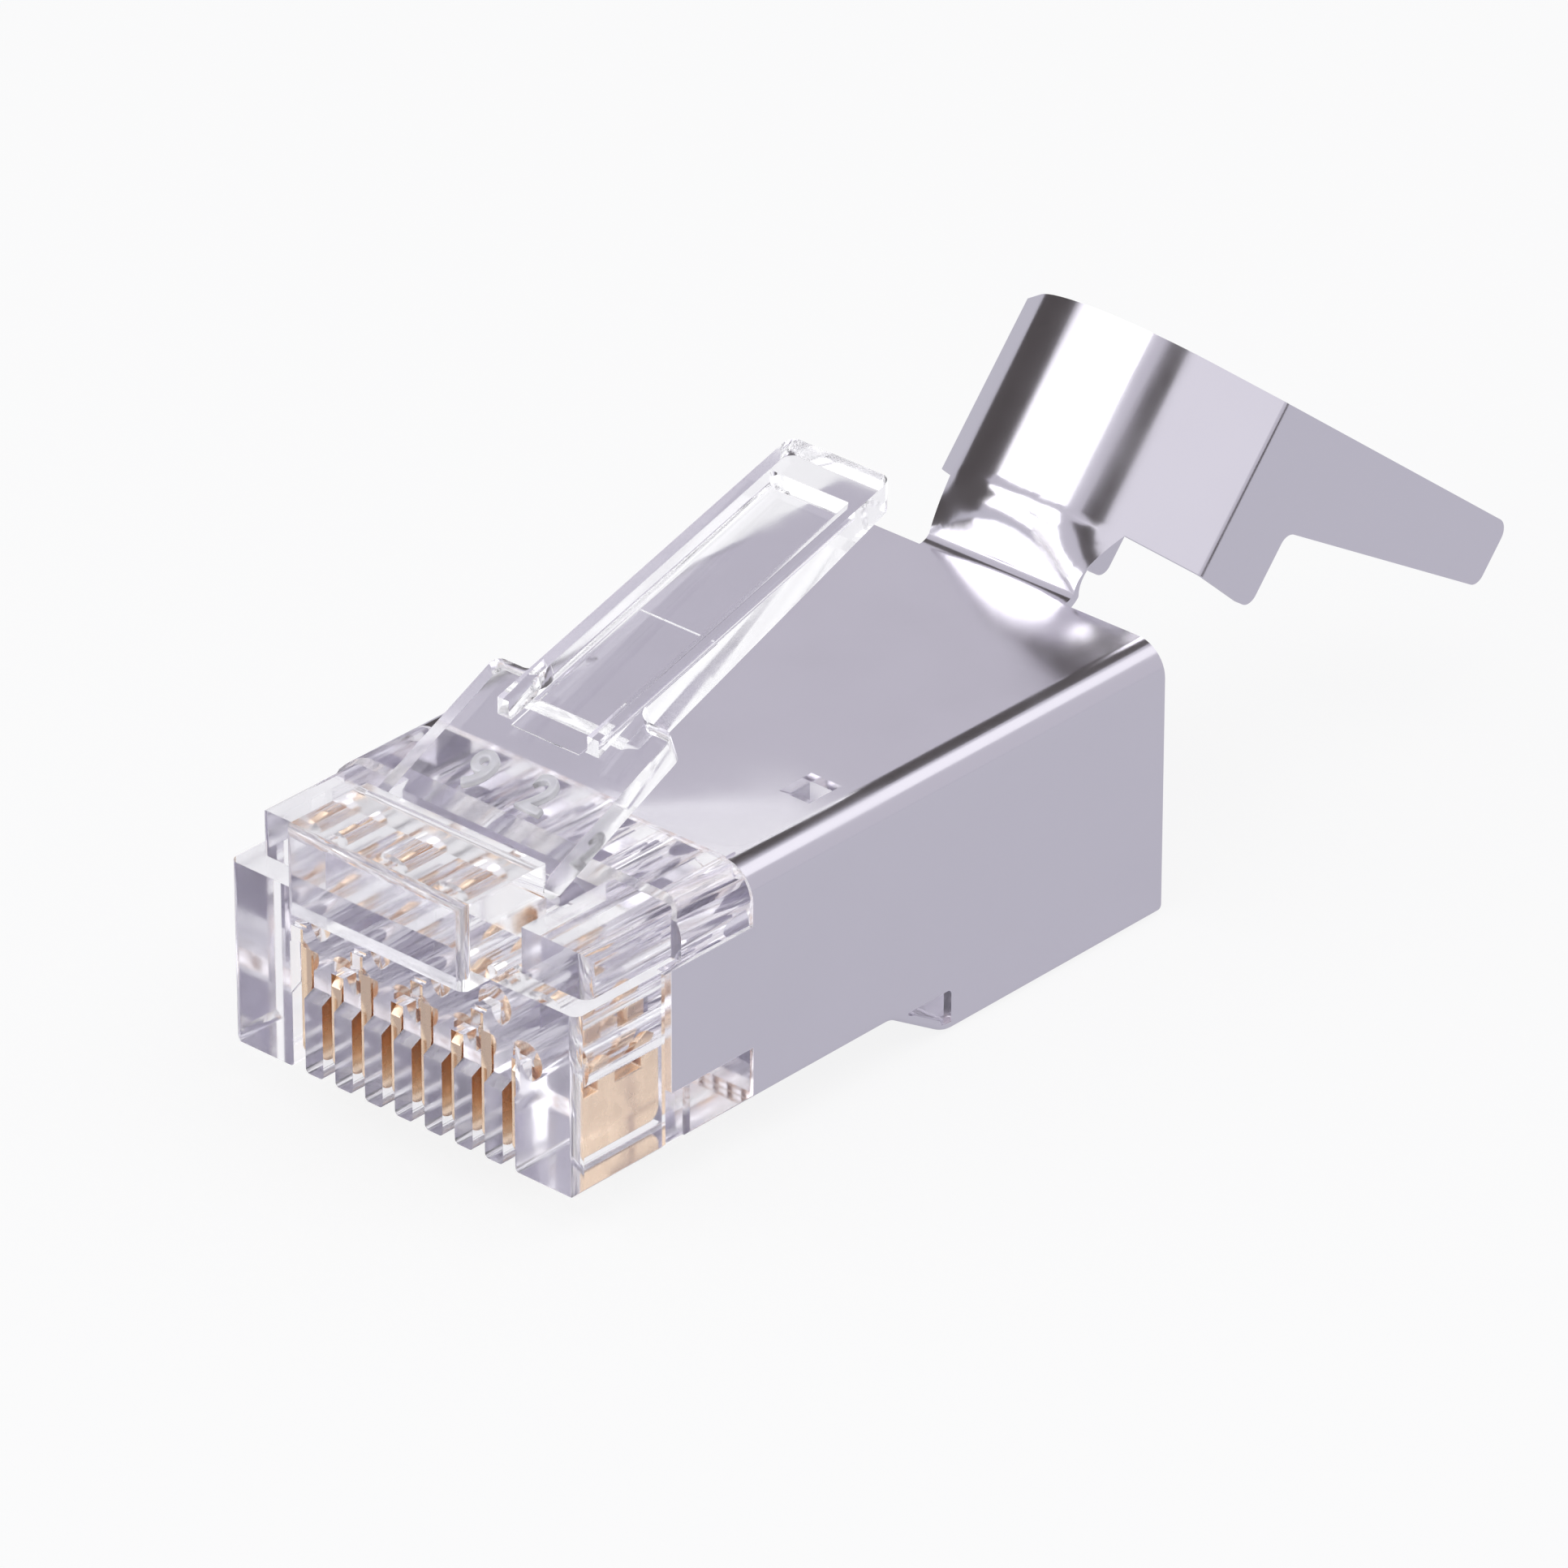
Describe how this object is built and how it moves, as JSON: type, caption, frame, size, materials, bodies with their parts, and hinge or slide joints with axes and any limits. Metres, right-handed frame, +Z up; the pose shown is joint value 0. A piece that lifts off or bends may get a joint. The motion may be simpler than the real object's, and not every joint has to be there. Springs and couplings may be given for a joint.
{
  "type": "shielded modular plug",
  "caption": "Clear modular plug with gold contact blades, a sprung latch, and a folded metal shield whose open crimp collar stands up behind it.",
  "frame": {"origin": "middle of the nose's lower front edge, on the nose face and level with the nose's underside", "axes": "+X across the plug towards the long crimp finger, +Y back from the nose to the cable end, +Z up towards the latch"},
  "size_m": [0.0116, 0.038, 0.0137],
  "materials": {
    "housing": "clear polished polycarbonate",
    "latch": "clear polished polycarbonate",
    "shield": "smooth bright nickel plate on sheet metal",
    "contacts": "gold plate"
  },
  "bodies": {
    "plug_body": {"housing": "housing", "shield": "shield", "contact_1": "contacts", "contact_2": "contacts", "contact_3": "contacts", "contact_4": "contacts", "contact_5": "contacts", "contact_6": "contacts", "contact_7": "contacts", "contact_8": "contacts"},
    "latch": {"latch": "latch"}
  },
  "joints": [
    {"name": "latch_hinge", "type": "hinge", "parent": "plug_body", "child": "latch", "pos_m": [0, 0.0023, 0.00675], "axis": [1, 0, 0], "range_deg": [-12, 0], "stiffness_Nm_per_rad": 0.3}
  ]
}
